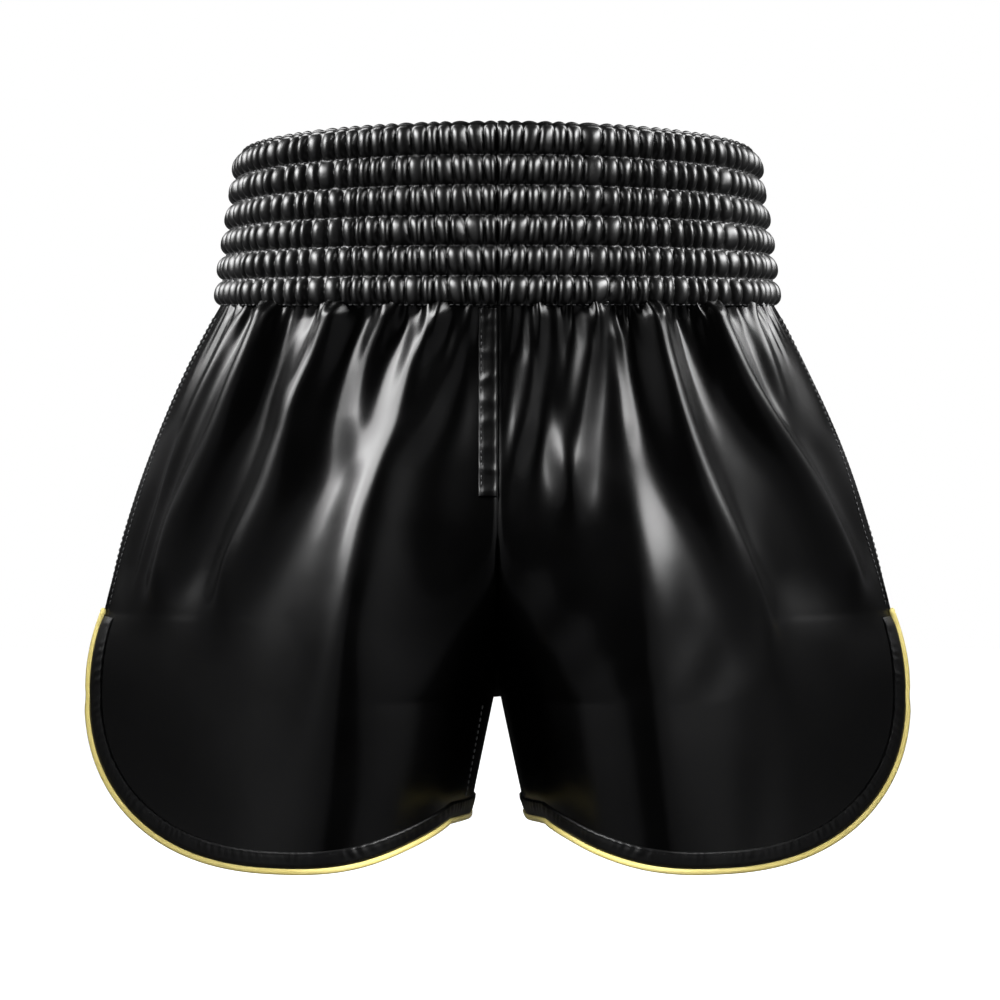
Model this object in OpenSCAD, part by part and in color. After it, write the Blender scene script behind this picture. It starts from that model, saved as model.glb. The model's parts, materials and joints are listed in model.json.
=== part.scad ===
// Satin boxing shorts with a six-row elastic waistband, side slits and a piped hem.
// Millimetres. X to the right seen from the front, the front faces -Y, Z up.
// The origin is the centre of the waist opening, level with the rim.

/* [Waistband] */
// half width of the waistband at the rim
waist_half_width = 130; // [110:1:160]
// half width of the waistband at its lower edge
band_half_width = 141; // [120:1:175]
// depth of the waist opening over its width
waist_flatness = 0.74; // [0.6:0.01:0.95]
// number of elastic channels
channel_rows = 6; // [4:1:8]
// height of one channel
channel_height = 14.8; // [11:0.1:19]
// how far each channel bulges outwards
channel_bulge = 2.6; // [1.5:0.1:4]

/* [Legs] */
// height of the slit top below the rim
slit_drop = 246; // [215:1:290]
// height of the crotch below the rim
crotch_drop = 286; // [255:1:330]
// height of the lowest hem point below the rim
hem_drop = 371; // [345:1:430]
// height of the hem at the inner leg below the rim
inner_leg_drop = 347; // [330:1:400]
// half width at the slit top
slit_half_width = 201; // [175:1:240]
// half width at the widest point of the hem corner
hem_half_width = 208; // [180:1:250]
// depth of the front half of a leg
front_depth = 124; // [100:1:150]
// depth of the back half of a leg
back_depth = 132; // [100:1:160]
// how far front and back stand apart at the bottom of the slit, each from the middle
slit_spread = 38; // [15:1:60]
// half gap between the legs at the inner leg hem
leg_gap_half = 12.5; // [6:0.5:25]

/* [Cloth and trim] */
// thickness of the satin
cloth = 0.9; // [0.5:0.1:1.5]
// width of the black edge band
edge_band_width = 8.5; // [5:0.5:14]
// thickness of the edge band
edge_band_thickness = 0.7; // [0.4:0.1:1.5]
// radius of the piping
piping_radius = 1.2; // [0.8:0.1:2]
// height of one fold of the cloth below the waistband
fold_height = 3.2; // [0:0.1:5]
// width of the stitched strip beside the centre front seam
facing_width = 9.4; // [6:0.2:14]
// length of the stitched strip
facing_length = 94; // [60:1:120]
// width of one elastic band
elastic_width = 10.5; // [7:0.5:14]
// thickness of one elastic band
elastic_thickness = 1.1; // [0.6:0.1:1.4]

/* [Hidden] */
seam = 0.3;
band_drop = channel_rows * channel_height;
corner_start = slit_drop + 0.3214 * (hem_drop - slit_drop);
corner_reach = hem_half_width * 0.51;
lining_bulge = 1.3;
row_steps = 6;
fold_waves = 5;
front_round = 0.35;
panel_columns = 26;
panel_rows = 16;
slit_row = 9;
edge_pitch = 9;
flap_rows = 5;
corner_length = 0.9 * (hem_drop - slit_drop) + 0.267 * hem_half_width;

// ---- small helpers ----
function clamp01(v) = min(1, max(0, v));
function smooth(v) = let (c = clamp01(v)) c * c * (3 - 2 * c);
function mix(a, b, t) = a + (b - a) * t;
function unit(v) = v / max(1e-9, norm(v));

// ---- shape of the shorts: u runs from the centre or inner leg to the side, drop is the depth below the rim ----
function side_half_width(drop) = let (
    s = (drop - band_drop) / (slit_drop - band_drop),
    t = clamp01((drop - slit_drop) / (corner_start - slit_drop))
  ) drop < slit_drop
    ? mix(band_half_width, slit_half_width, s * (1.5 - 0.5 * s))
    : mix(slit_half_width, hem_half_width, 1 - pow(1 - t, 2.2));
function leg_gap(drop) = mix(0, leg_gap_half, clamp01((drop - crotch_drop) / (inner_leg_drop - crotch_drop)))
  + 1.2 * smooth((drop - crotch_drop + 25) / 25);
function spread(drop) = 3.2 * smooth((drop - slit_drop + 14) / 14)
  + slit_spread * pow(max(0, (drop - slit_drop) / (hem_drop - slit_drop)), 1.7);
function depth(drop, back) = mix(band_half_width * waist_flatness, back ? back_depth : front_depth,
  smooth((drop - band_drop) / (slit_drop - band_drop)));
function leg_weight(drop) = smooth((drop - band_drop - 20) / (slit_drop - band_drop - 24));
function crotch_weight(drop) = pow(clamp01((drop - slit_drop + 60) / (crotch_drop - slit_drop + 60)), 1.6);
function side_profile(q) = (sqrt(q * q + 0.04) - 0.2) / (sqrt(1.04) - 0.2);
function section(x_part, drop, back) = let (
    inner = 1 - min(x_part / front_round, 1),
    rise = 1 - crotch_weight(drop) * (1 - sqrt(max(0, 1 - inner * inner))),
    trunk = sqrt(max(0, 1 - x_part * x_part)),
    edge = spread(drop) / depth(drop, back),
    leg = 1 - (1 - edge) * side_profile(max(0, (x_part - front_round) / (1 - front_round)))
  ) rise * mix(trunk, leg, leg_weight(drop));
function folds(u, drop) = fold_height * sin(180 * fold_waves * 2 * u)
  * smooth((drop - band_drop) / 25) * smooth((slit_drop - 18 - drop) / 90) * smooth(u / 0.12) * smooth((1 - u) / 0.15);
function u_to_part(u) = 1 - cos(90 * clamp01(u)) + 1.57 * max(0, u - 1);
function part_to_u(p) = acos(1 - clamp01(p)) / 90;
function spaced(t) = (1 - cos(180 * t)) / 2;
// a point of the middle of the cloth; sx is -1 left or 1 right, sy is -1 front or 1 back
function cloth_point(u, drop, sx, sy) = let (
    g = leg_gap(drop),
    p = u_to_part(u),
    y = section(p, drop, sy > 0) * depth(drop, sy > 0) + folds(u, drop)
  ) [sx * (g + seam / 2 + (side_half_width(drop) - g - seam / 2) * p), sy * (y + seam / 2), -drop];
function cloth_normal(u, drop, sx, sy) = let (
    a = cloth_point(min(1, u + 0.01), drop, sx, sy) - cloth_point(max(0, u - 0.01), drop, sx, sy),
    b = cloth_point(u, drop + 1, sx, sy) - cloth_point(u, drop - 1, sx, sy)
  ) sx * sy * unit(cross(a, b));

// ---- free edge: from the slit top round the corner and along the hem to the inner leg ----
function hem_at(p) = let (x = hem_half_width * p, low = hem_half_width - corner_reach)
  x > low
    ? corner_start + (hem_drop - corner_start) * pow(max(0, 1 - pow((x - low) / corner_reach, 2.3)), 1 / 2.3)
    : hem_drop - (hem_drop - inner_leg_drop) * pow((low - x) / (low - leg_gap_half), 2.7);
edge_turns = concat(
  [for (i = [0:3]) [1, mix(slit_drop + 2.2, corner_start, i / 4)]],
  [for (i = [0:12]) let (k = pow(cos(7.5 * i), 2 / 2.3),
    p = (hem_half_width - corner_reach + corner_reach * k) / hem_half_width) [part_to_u(p), hem_at(p)]],
  [for (i = [1:14]) let (u = part_to_u(1 - corner_reach / hem_half_width) * (1 - i / 14))
    [u, hem_at(max(u_to_part(u), leg_gap_half / hem_half_width))]]
);
function edge_length(list, sx, sy, i = 0, sum = 0) = i == len(list) - 1 ? [sum] : concat([sum],
  edge_length(list, sx, sy, i + 1, sum + norm(
    cloth_point(list[i + 1][0], list[i + 1][1], sx, sy) - cloth_point(list[i][0], list[i][1], sx, sy))));
front_marks = edge_length(edge_turns, 1, -1);
back_marks = edge_length(edge_turns, 1, 1);
front_u = [for (i = [0:len(edge_turns) - 1]) [front_marks[i], edge_turns[i][0]]];
front_drop = [for (i = [0:len(edge_turns) - 1]) [front_marks[i], edge_turns[i][1]]];
back_u = [for (i = [0:len(edge_turns) - 1]) [back_marks[i], edge_turns[i][0]]];
back_drop = [for (i = [0:len(edge_turns) - 1]) [back_marks[i], edge_turns[i][1]]];
function edge_total(sy) = sy < 0 ? front_marks[len(front_marks) - 1] : back_marks[len(back_marks) - 1];
function edge_uv(d, sy) = sy < 0 ? [lookup(d, front_u), lookup(d, front_drop)]
  : [lookup(d, back_u), lookup(d, back_drop)];
function cloth_at(uv, sx, sy) = cloth_point(uv[0], uv[1], sx, sy);
function edge_dir(d, sx, sy) = unit(cloth_at(edge_uv(min(d + 3, edge_total(sy)), sy), sx, sy)
  - cloth_at(edge_uv(max(d - 3, 0), sy), sx, sy));
// point at distance w inside the free edge, lifted h off the middle of the cloth
function inside_uv(d, w, sy) = let (
    uv = edge_uv(d, sy),
    su = (cloth_point(uv[0], uv[1], 1, sy) - cloth_point(uv[0] - 0.02, uv[1], 1, sy)) / 0.02,
    sv = (cloth_point(uv[0], uv[1] + 1, 1, sy) - cloth_point(uv[0], uv[1] - 1, 1, sy)) / 2,
    su2 = uv[0] < 0.02 ? (cloth_point(0.02, uv[1], 1, sy) - cloth_point(0, uv[1], 1, sy)) / 0.02 : su,
    nrm = unit(cross(su2, sv)),
    across = w * unit(cross(nrm, edge_dir(d, 1, sy))),
    guu = su2 * su2, guv = su2 * sv, gvv = sv * sv,
    bu = across * su2, bv = across * sv,
    det = guu * gvv - guv * guv
  ) [uv[0] + (bu * gvv - bv * guv) / det, uv[1] + (bv * guu - bu * guv) / det];
function inside(d, w, h, sx, sy) = let (uv = inside_uv(d, w, sy))
  cloth_point(clamp01(uv[0]), uv[1], sx, sy) + h * cloth_normal(clamp01(uv[0]), uv[1], sx, sy);

// ---- fold line of the corner, from the slit top to the hem ----
function fold_end(sy) = edge_uv(corner_length, sy);
slit_part = 1 - (edge_band_width + 1) / slit_half_width * 0.62;
function line_uv(t, sy) = let (
    a = [slit_part, slit_drop + 2.2],
    e = fold_end(sy),
    b = [u_to_part(e[0]), e[1]]
  ) [part_to_u(mix(a[0], b[0], t)), mix(a[1], b[1], t)];
function fold_offset(d, w, sy) = let (
    uv = inside_uv(d, w, sy), a = line_uv(0, sy), b = line_uv(1, sy),
    p = [u_to_part(uv[0]) * hem_half_width, uv[1]],
    pa = [u_to_part(a[0]) * hem_half_width, a[1]],
    pb = [u_to_part(b[0]) * hem_half_width, b[1]]
  ) cross(pb - pa, p - pa);
function crossing(w, sy, lo, hi, n = 18) = let (mid = (lo + hi) / 2)
  n == 0 ? mid : fold_offset(mid, w, sy) * fold_offset(lo, w, sy) > 0
    ? crossing(w, sy, mid, hi, n - 1) : crossing(w, sy, lo, mid, n - 1);

// ---- solids from grids ----
module sheet_between(outer, inner, flip) {
  rows = len(outer) - 1;
  cols = len(outer[0]) - 1;
  count = (rows + 1) * (cols + 1);
  points = concat([for (r = outer) for (p = r) p], [for (r = inner) for (p = r) p]);
  function at(i, j) = i * (cols + 1) + j;
  skin = [for (i = [0:rows - 1]) for (j = [0:cols - 1]) each [
    [at(i, j), at(i, j + 1), at(i + 1, j + 1)], [at(i, j), at(i + 1, j + 1), at(i + 1, j)],
    [count + at(i, j), count + at(i + 1, j + 1), count + at(i, j + 1)],
    [count + at(i, j), count + at(i + 1, j), count + at(i + 1, j + 1)]]];
  rim_cols = [for (j = [0:cols - 1]) each [
    [at(0, j), count + at(0, j), count + at(0, j + 1)], [at(0, j), count + at(0, j + 1), at(0, j + 1)],
    [at(rows, j), count + at(rows, j + 1), count + at(rows, j)],
    [at(rows, j), at(rows, j + 1), count + at(rows, j + 1)]]];
  rim_rows = [for (i = [0:rows - 1]) each [
    [at(i, 0), count + at(i + 1, 0), count + at(i, 0)], [at(i, 0), at(i + 1, 0), count + at(i + 1, 0)],
    [at(i, cols), count + at(i, cols), count + at(i + 1, cols)],
    [at(i, cols), count + at(i + 1, cols), at(i + 1, cols)]]];
  all_faces = concat(skin, rim_cols, rim_rows);
  polyhedron(points, flip ? [for (f = all_faces) [f[2], f[1], f[0]]] : all_faces, convexity = 6);
}
module cloth_sheet(grid, sx, sy, out, in) {
  sheet_between(
    [for (r = grid) [for (q = r) cloth_at(q, sx, sy) + out * cloth_normal(q[0], q[1], sx, sy)]],
    [for (r = grid) [for (q = r) cloth_at(q, sx, sy) - in * cloth_normal(q[0], q[1], sx, sy)]],
    sx * sy > 0);
}
module cord_along(path, normals, radius) {
  sides = 6;
  last = len(path) - 1;
  rings = [for (k = [0:last]) let (
      dir = unit(path[min(k + 1, last)] - path[max(k - 1, 0)]),
      n = unit(normals[k] - (normals[k] * dir) * dir),
      b = cross(dir, n)
    ) [for (s = [0:sides - 1]) path[k] + radius * (cos(360 * s / sides) * n + sin(360 * s / sides) * b)]];
  wall = [for (k = [0:last - 1]) for (s = [0:sides - 1]) let (s2 = (s + 1) % sides) each [
    [k * sides + s, (k + 1) * sides + s2, k * sides + s2],
    [k * sides + s, (k + 1) * sides + s, (k + 1) * sides + s2]]];
  ends = [for (s = [1:sides - 2]) each [[0, s, s + 1], [last * sides, last * sides + s + 1, last * sides + s]]];
  polyhedron([for (r = rings) for (p = r) p], concat(wall, ends), convexity = 8);
}

// ---- waistband ----
function band_radius(drop) = mix(waist_half_width, band_half_width, drop / band_drop);
function row_wave(drop) = pow(abs(sin(180 * drop / channel_height)), 0.7);
band_steps = channel_rows * row_steps;
outer_skin = [for (i = [0:band_steps]) let (d = i / row_steps * channel_height)
  [band_radius(d) + 0.9 + channel_bulge * row_wave(d), -d]];
outer_back = [for (i = [band_steps:-1:0]) let (d = i / row_steps * channel_height)
  [band_radius(d) + 0.25 + (channel_bulge - 0.15) * row_wave(d), -max(d, 1.0)]];
module casing(side) {
  color([0.02, 0.02, 0.022])
    translate([side * seam / 2, 0, 0])
      rotate([0, 0, side > 0 ? -90 : 90])
        scale([waist_flatness, 1, 1])
          rotate_extrude(angle = 180, $fn = 180)
            polygon(concat([[band_radius(0) - 2.4, 0]], outer_skin, outer_back,
              [[band_radius(0) - 1.5, -1.0], [band_radius(0) - 1.5, -2.4], [band_radius(0) - 2.4, -2.4]]));
}
lining_top = 1.4;
function lining_wave(d) = d < channel_height / 2 ? pow(abs(sin(180 * d / channel_height)), 0.7) : row_wave(d);
lining_front = [for (i = [0:band_steps]) let (d = max(lining_top, i / row_steps * channel_height))
  [band_radius(d) - 0.15 - (lining_bulge - 0.2) * lining_wave(d), -d]];
lining_back = [for (i = [band_steps:-1:0]) let (d = max(lining_top, i / row_steps * channel_height))
  [band_radius(d) - 0.85 - lining_bulge * lining_wave(d), -d]];
module lining(side) {
  color([0.03, 0.03, 0.034])
    translate([side * seam / 2, 0, 0])
      rotate([0, 0, side > 0 ? -90 : 90])
        scale([waist_flatness, 1, 1])
          rotate_extrude(angle = 180, $fn = 180)
            difference() {
              polygon(concat([for (k = [1:band_steps]) lining_front[k]],
                [for (k = [0:band_steps - 1]) lining_back[k]]));
              translate([band_radius(0) - 4, -2.8])
                square([8, 4]);
            }
}
module elastic(row) {
  middle = (row - 0.5) * channel_height;
  color([0.12, 0.12, 0.12])
    scale([1, waist_flatness, 1])
      rotate_extrude($fn = 180)
        translate([band_radius(middle) + 0.35, -middle - elastic_width / 2])
          square([elastic_thickness, elastic_width]);
}
module stitching() {
  color([0.05, 0.05, 0.05])
    scale([1, waist_flatness, 1])
      for (row = [1:channel_rows])
        rotate_extrude($fn = 180)
          translate([band_radius(row * channel_height) + 1.25 + (row == channel_rows ? 0.1 : 0),
            -row * channel_height - (row == channel_rows ? -0.9 : 0)])
            square([0.5, 0.5], center = true);
}

// ---- panels, corners and trim ----
panel_top = band_drop + 0.5;
function panel_side(drop, sy) = let (a = line_uv(0, sy), b = line_uv(1, sy))
  drop < slit_drop ? 1 : mix(u_to_part(a[0]), u_to_part(b[0]), clamp01((drop - a[1]) / (b[1] - a[1])));
function hem_drop_at(j, sy, guess = hem_drop - 21, n = 9) = n == 0 ? guess
  : hem_drop_at(j, sy, hem_at(max(leg_gap_half / hem_half_width,
      panel_side(guess, sy) * spaced(j / panel_columns))), n - 1);
// rows of the panel; it steps in to the fold line just below the slit top
function row_drop(i, low) = i <= slit_row ? mix(panel_top, slit_drop - 1.2, i / slit_row)
  : mix(slit_drop + 1.2, low, (i - slit_row - 1) / (panel_rows - slit_row - 1));
function panel_uv(i, j, sy) = let (
    drop = row_drop(i, hem_drop_at(j, sy)),
    gap = i > slit_row ? 0.5 / hem_half_width : 0
  ) [part_to_u((panel_side(drop, sy) - gap) * spaced(j / panel_columns)), drop];
module panel(sx, sy) {
  color([0.02, 0.02, 0.022])
    cloth_sheet([for (i = [0:panel_rows]) [for (j = [0:panel_columns]) panel_uv(i, j, sy)]],
      sx, sy, cloth / 2, cloth / 2);
}
module corner(sx, sy) {
  steps = 12;
  // the free edge of the corner, and the fold line it hangs from
  color([0.02, 0.02, 0.022])
    cloth_sheet([for (i = [0:steps]) let (
        e = edge_uv((corner_length - 6) * i / steps, sy),
        f = line_uv(i / steps, sy),
        ep = [u_to_part(e[0]), e[1]],
        fp = [u_to_part(f[0]) + 0.5 / hem_half_width, f[1]]
      ) [for (j = [0:flap_rows]) let (q = mix(fp, ep, j / flap_rows)) [part_to_u(q[0]), q[1]]]],
      sx, sy, cloth / 2, cloth / 2);
}
module edge_band(sx, sy, from_outer, to_outer, from_inner, to_inner) {
  steps = ceil((to_outer - from_outer) / edge_pitch);
  low = cloth / 2 + 0.25;
  high = low + edge_band_thickness;
  widths = [0.4, edge_band_width / 2, edge_band_width];
  function at(i, w, h) = let (t = i / steps, k = w / edge_band_width)
    inside(mix(mix(from_outer, from_inner, k), mix(to_outer, to_inner, k), t), w, h, sx, sy);
  color([0.03, 0.03, 0.034])
    sheet_between([for (i = [0:steps]) [for (w = widths) at(i, w, high)]],
      [for (i = [0:steps]) [for (w = widths) at(i, w, low)]], sx * sy < 0);
}
module piping(sx, sy, from, to) {
  steps = ceil((to - from) / edge_pitch);
  out = -piping_radius - 0.2;
  path = [for (i = [0:steps]) inside(mix(from, to, i / steps), out, 0.2, sx, sy)];
  normals = [for (i = [0:steps]) let (uv = edge_uv(mix(from, to, i / steps), sy))
    cloth_normal(uv[0], uv[1], sx, sy)];
  color([0.93, 0.85, 0.42])
    cord_along(path, normals, piping_radius);
}
function band_cross(sy) = crossing(edge_band_width, sy, corner_length - 40, corner_length + 40);
module hem_band(sx, sy) {
  edge_band(sx, sy, corner_length + 1, edge_total(sy) - 1.5, band_cross(sy) + 1, edge_total(sy) - 1.5);
}
module corner_band(sx, sy) {
  edge_band(sx, sy, 0.5, corner_length - 1, 0.5, band_cross(sy) - 1);
}
module hem_piping(sx, sy) {
  piping(sx, sy, corner_length + 1, edge_total(sy) - 2);
}
module corner_piping(sx, sy) {
  piping(sx, sy, 0.5, corner_length - 1);
}
module facing() {
  steps = 10;
  low = cloth / 2 + 0.25;
  function at(i, k, h) = let (
      drop = panel_top + 1 + facing_length * i / steps,
      u = part_to_u((0.6 + facing_width * k) / side_half_width(drop))
    ) cloth_point(u, drop, -1, -1) + h * cloth_normal(u, drop, -1, -1);
  color([0.03, 0.03, 0.034])
    sheet_between([for (i = [0:steps]) [for (k = [0:0.25:1]) at(i, k, low + edge_band_thickness)]],
      [for (i = [0:steps]) [for (k = [0:0.25:1]) at(i, k, low)]], true);
}
module gusset() {
  // a lens of cloth under the crotch, inside the four panels
  half_length = 46;
  steps = 12;
  function edge_x(y) = 0.9 + 8 * pow(cos(90 * y / half_length), 2);
  function lift(y) = 3.5 + 22 * pow(abs(y) / half_length, 2);
  grid = [for (i = [0:steps]) let (y = mix(-half_length, half_length, i / steps))
    [for (j = [0:4]) [edge_x(y) * (j / 2 - 1), y, -crotch_drop + lift(y)]]];
  color([0.03, 0.03, 0.034])
    sheet_between([for (r = grid) [for (p = r) p + [0, 0, cloth]]], grid, true);
}

casing(-1);  // waistband_casing_left
casing(1);  // waistband_casing_right
lining(-1);  // waistband_lining_left
lining(1);  // waistband_lining_right
elastic(1);  // elastic_band_1
elastic(2);  // elastic_band_2
elastic(3);  // elastic_band_3
elastic(4);  // elastic_band_4
elastic(5);  // elastic_band_5
elastic(6);  // elastic_band_6
stitching();  // waistband_stitching
panel(-1, -1);  // front_left_panel
panel(1, -1);  // front_right_panel
panel(-1, 1);  // back_left_panel
panel(1, 1);  // back_right_panel
corner(-1, -1);  // front_left_corner
corner(1, -1);  // front_right_corner
corner(-1, 1);  // back_left_corner
corner(1, 1);  // back_right_corner
facing();  // centre_front_facing
gusset();  // crotch_gusset
hem_band(-1, -1);  // front_left_hem_band
hem_band(1, -1);  // front_right_hem_band
hem_band(-1, 1);  // back_left_hem_band
hem_band(1, 1);  // back_right_hem_band
corner_band(-1, -1);  // front_left_corner_band
corner_band(1, -1);  // front_right_corner_band
corner_band(-1, 1);  // back_left_corner_band
corner_band(1, 1);  // back_right_corner_band
hem_piping(-1, -1);  // front_left_hem_piping
hem_piping(1, -1);  // front_right_hem_piping
hem_piping(-1, 1);  // back_left_hem_piping
hem_piping(1, 1);  // back_right_hem_piping
corner_piping(-1, -1);  // front_left_corner_piping
corner_piping(1, -1);  // front_right_corner_piping
corner_piping(-1, 1);  // back_left_corner_piping
corner_piping(1, 1);  // back_right_corner_piping
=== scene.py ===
import json
import math

import bpy
import numpy as np
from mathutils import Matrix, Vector


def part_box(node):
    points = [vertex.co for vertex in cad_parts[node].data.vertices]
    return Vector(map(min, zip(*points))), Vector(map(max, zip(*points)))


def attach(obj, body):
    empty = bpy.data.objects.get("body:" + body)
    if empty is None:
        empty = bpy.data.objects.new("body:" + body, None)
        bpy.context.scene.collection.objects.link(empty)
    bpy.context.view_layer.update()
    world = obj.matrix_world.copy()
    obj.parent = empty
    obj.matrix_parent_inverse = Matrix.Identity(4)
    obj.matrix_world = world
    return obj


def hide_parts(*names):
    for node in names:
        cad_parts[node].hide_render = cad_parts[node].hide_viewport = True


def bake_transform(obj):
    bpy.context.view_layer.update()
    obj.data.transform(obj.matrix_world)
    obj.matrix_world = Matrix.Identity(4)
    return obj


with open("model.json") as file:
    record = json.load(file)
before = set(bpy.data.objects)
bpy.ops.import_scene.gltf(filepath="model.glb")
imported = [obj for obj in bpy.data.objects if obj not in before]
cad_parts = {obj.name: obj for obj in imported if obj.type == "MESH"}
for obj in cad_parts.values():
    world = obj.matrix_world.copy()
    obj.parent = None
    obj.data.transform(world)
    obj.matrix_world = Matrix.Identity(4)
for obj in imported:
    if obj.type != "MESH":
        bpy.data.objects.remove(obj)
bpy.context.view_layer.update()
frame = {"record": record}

# ------------------------------------------------------------------ sizes in mm
# copies of the sizes in the CAD; HEM, INNER_HEM and CLOTH are a little smaller, PIPING larger
MM = 0.001
ROWS = 6
ROW = -(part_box("waistband_casing_right")[0] / MM).z / ROWS
# heights below the rim
BAND_DROP = ROWS * ROW
SLIT = 246.0
CORNER_START = SLIT + 40.176
CROTCH = 286.0
INNER_HEM = 346.0
HEM = 368.4
# half widths; FLAT is the depth of the waistband over its width
RIM_HALF = 130.0
BAND_HALF = 141.0
MID_BAND_HALF = 136.0
FLAT = 0.74
SLIT_HALF = 201.0
HEM_HALF = 208.0
CORNER_REACH = HEM_HALF * 0.51
LEG_GAP = 12.5
# depths of the legs from the middle, and how far front and back spread at the side slit
FRONT_DEPTH = 124.0
BACK_DEPTH = 132.0
SPREAD = 38.0
# cloth and trim: thickness, width of the edge band, radius of the piping, half gap at the slit
CLOTH = 0.8
EDGE_BAND = 8.5
PIPING = 1.55
SEAM = 0.15
# distance from the edge band's inner edge to its stitching
STITCH_INSET = 1.7


def smooth(v):
    c = np.clip(v, 0, 1)
    return c * c * (3 - 2 * c)


def mix(a, b, t):
    return a + (b - a) * t


def unit(v):
    return v / np.maximum(np.linalg.norm(v, axis=-1, keepdims=True), 1e-9)


def noise(s, z, seed, lam_s, lam_z, count=7):
    """Smooth random waves about 1 high, from seeded sines."""
    rng = np.random.default_rng(seed)
    total = np.zeros(np.broadcast(s, z).shape)
    for _ in range(count):
        ks = rng.normal(0, 1) / lam_s
        kz = rng.normal(0, 1) / lam_z
        total = total + np.sin(2 * math.pi * (ks * s + kz * z) + rng.uniform(0, 6.28))
    return total / math.sqrt(count)


# ------------------------------------------------------------------ shape shared with the CAD
def side_half(drop):
    """Half width of the plain cloth at this height."""
    s = (drop - BAND_DROP) / (SLIT - BAND_DROP)
    t = np.clip((drop - SLIT) / (CORNER_START - SLIT), 0, 1)
    return np.where(
        drop < SLIT,
        mix(BAND_HALF, SLIT_HALF, s * (1.5 - 0.5 * s)),
        mix(SLIT_HALF, HEM_HALF, 1 - (1 - t) ** 2.2),
    )


def leg_gap(p, drop):
    """Half the gap between the legs: it starts sharply at the inner leg and softly further out."""
    t = (drop - CROTCH) / (INNER_HEM - CROTCH)
    return LEG_GAP * mix(0.5 * (t + np.sqrt(t * t + 0.06)), np.clip(t, 0, 1), np.exp(-12 * p))


def section(p, drop, back):
    """How far the cloth stands out from the middle; p is 0 at the inner leg and 1 at the side."""
    leg_depth = BACK_DEPTH if back else FRONT_DEPTH
    deep = mix(BAND_HALF * FLAT, leg_depth, smooth((drop - BAND_DROP) / (SLIT - BAND_DROP)))
    low = np.clip((drop - SLIT + 60) / (CROTCH - SLIT + 60), 0, 1)
    crotch = low**2.4 * (1.45 - 0.45 * low)
    inner = 1 - np.minimum(p / 0.35, 1)
    rise = 1 - crotch * (1 - np.sqrt(np.maximum(0, 1 - inner * inner)))
    spread = SPREAD * np.maximum(0, (drop - SLIT) / (HEM - SLIT)) ** 1.7
    q = np.maximum(0, (p - 0.35) / 0.65)
    profile = (np.sqrt(q * q + 0.04) - 0.2) / (math.sqrt(1.04) - 0.2)
    leg = 1 - (1 - spread / deep) * profile
    trunk = np.sqrt(np.maximum(0, 1 - p * p))
    lift = 3.2 * smooth((drop - SLIT + 3) / 36) * q**8
    return rise * mix(trunk, leg, smooth((drop - BAND_DROP - 20) / (SLIT - BAND_DROP - 24))) * deep + lift


def cloth_point(p, drop, sx, sy):
    """A point of the plain cloth; sx is -1 left or 1 right, sy is -1 front or 1 back."""
    g = leg_gap(p, drop) - 0.06
    # below the slit the edge widens sooner than the cloth beside it
    slow = SLIT_HALF + 7 * (1 - (1 - np.clip((drop - SLIT) / 74, 0, 1)) ** 2)
    soft_half = np.where(drop < SLIT, side_half(drop), slow)
    flat_top = 1.4 * smooth((drop - CROTCH + 3) / 4) * np.exp(-14 * p)
    x = g + (soft_half - g) * p + (side_half(drop) - soft_half) * p**6 + flat_top
    # front and back overlap by a hair at the seams and part at the slit
    parted = smooth((drop - SLIT + 2) / 4) * smooth((p - 0.5) / 0.3)
    y = section(p, drop, sy > 0) + mix(-0.12, SEAM, parted)
    return np.stack([sx * x, sy * y, -drop + 0 * p], -1)


def hem_at(p):
    """How far the free edge lies below the rim."""
    x = np.maximum(HEM_HALF * p, LEG_GAP)
    low = HEM_HALF - CORNER_REACH
    across = np.maximum(0, x - low) / CORNER_REACH
    outer = CORNER_START + (HEM - CORNER_START) * np.maximum(0, 1 - across**2.3) ** (1 / 2.3)
    inner = HEM - (HEM - INNER_HEM) * (np.maximum(0, low - x) / (low - LEG_GAP)) ** 2.7
    return np.where(x > low, outer, inner)


# ------------------------------------------------------------------ folds
# each fold: its crest as (distance from the middle, drop), half width at the top and the end, height
FRONT_FOLDS = {
    -1: [
        ([
            (113, 89), (127, 122), (137, 147), (146, 168),
            (161, 200), (171, 236), (176, 262),
        ], 8, 15, 8.4),
        ([(98, 89), (103, 110), (107, 126), (110, 142)], 5.5, 8, 3.0),
        ([(80, 89), (88, 112), (97, 132), (105, 156), (114, 186), (126, 212), (140, 246)], 8, 17, 9.6),
        ([(52, 89), (63, 109), (69, 132), (73, 160)], 6, 10, 4.4),
        ([
            (27, 89), (37, 108), (45, 134), (53, 161),
            (61, 181), (66, 202), (70, 226), (81, 290),
        ], 7, 19, 7.2),
        ([(13, 89), (18, 104), (25, 122), (32, 138), (39, 156)], 5, 8, 3.6),
        ([(136, 89), (146, 112), (154, 130), (166, 160), (176, 192), (185, 232)], 3.5, 5, 2.0),
    ],
    1: [
        ([(9, 89), (5.5, 104), (4, 114)], 4, 4, 1.6),
        ([(22, 89), (17.5, 122), (14.6, 142), (9, 164)], 5.5, 7, 4.2),
        ([(33, 89), (29, 122), (28, 142), (30, 161), (37, 182)], 4, 7, 2.6),
        ([(49, 89), (48, 101), (44, 122), (41, 142), (38, 164), (35, 188)], 6, 10, 5.4),
        ([(58, 100), (60, 118), (62, 138), (63, 158)], 4.6, 7, 2.6),
        ([
            (77, 89), (79, 104), (84, 125), (90, 146), (97, 166),
            (105, 188), (113, 206), (121, 224), (136, 266),
        ], 7, 16, 9.6),
        ([
            (106, 89), (111, 103), (117, 115), (124, 130), (134, 146),
            (144, 160), (154, 176), (172, 215), (186, 250),
        ], 7.5, 15, 8.6),
        ([(126, 89), (133, 104), (141, 124), (149, 146)], 3.5, 5, 2.2),
    ],
}


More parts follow.
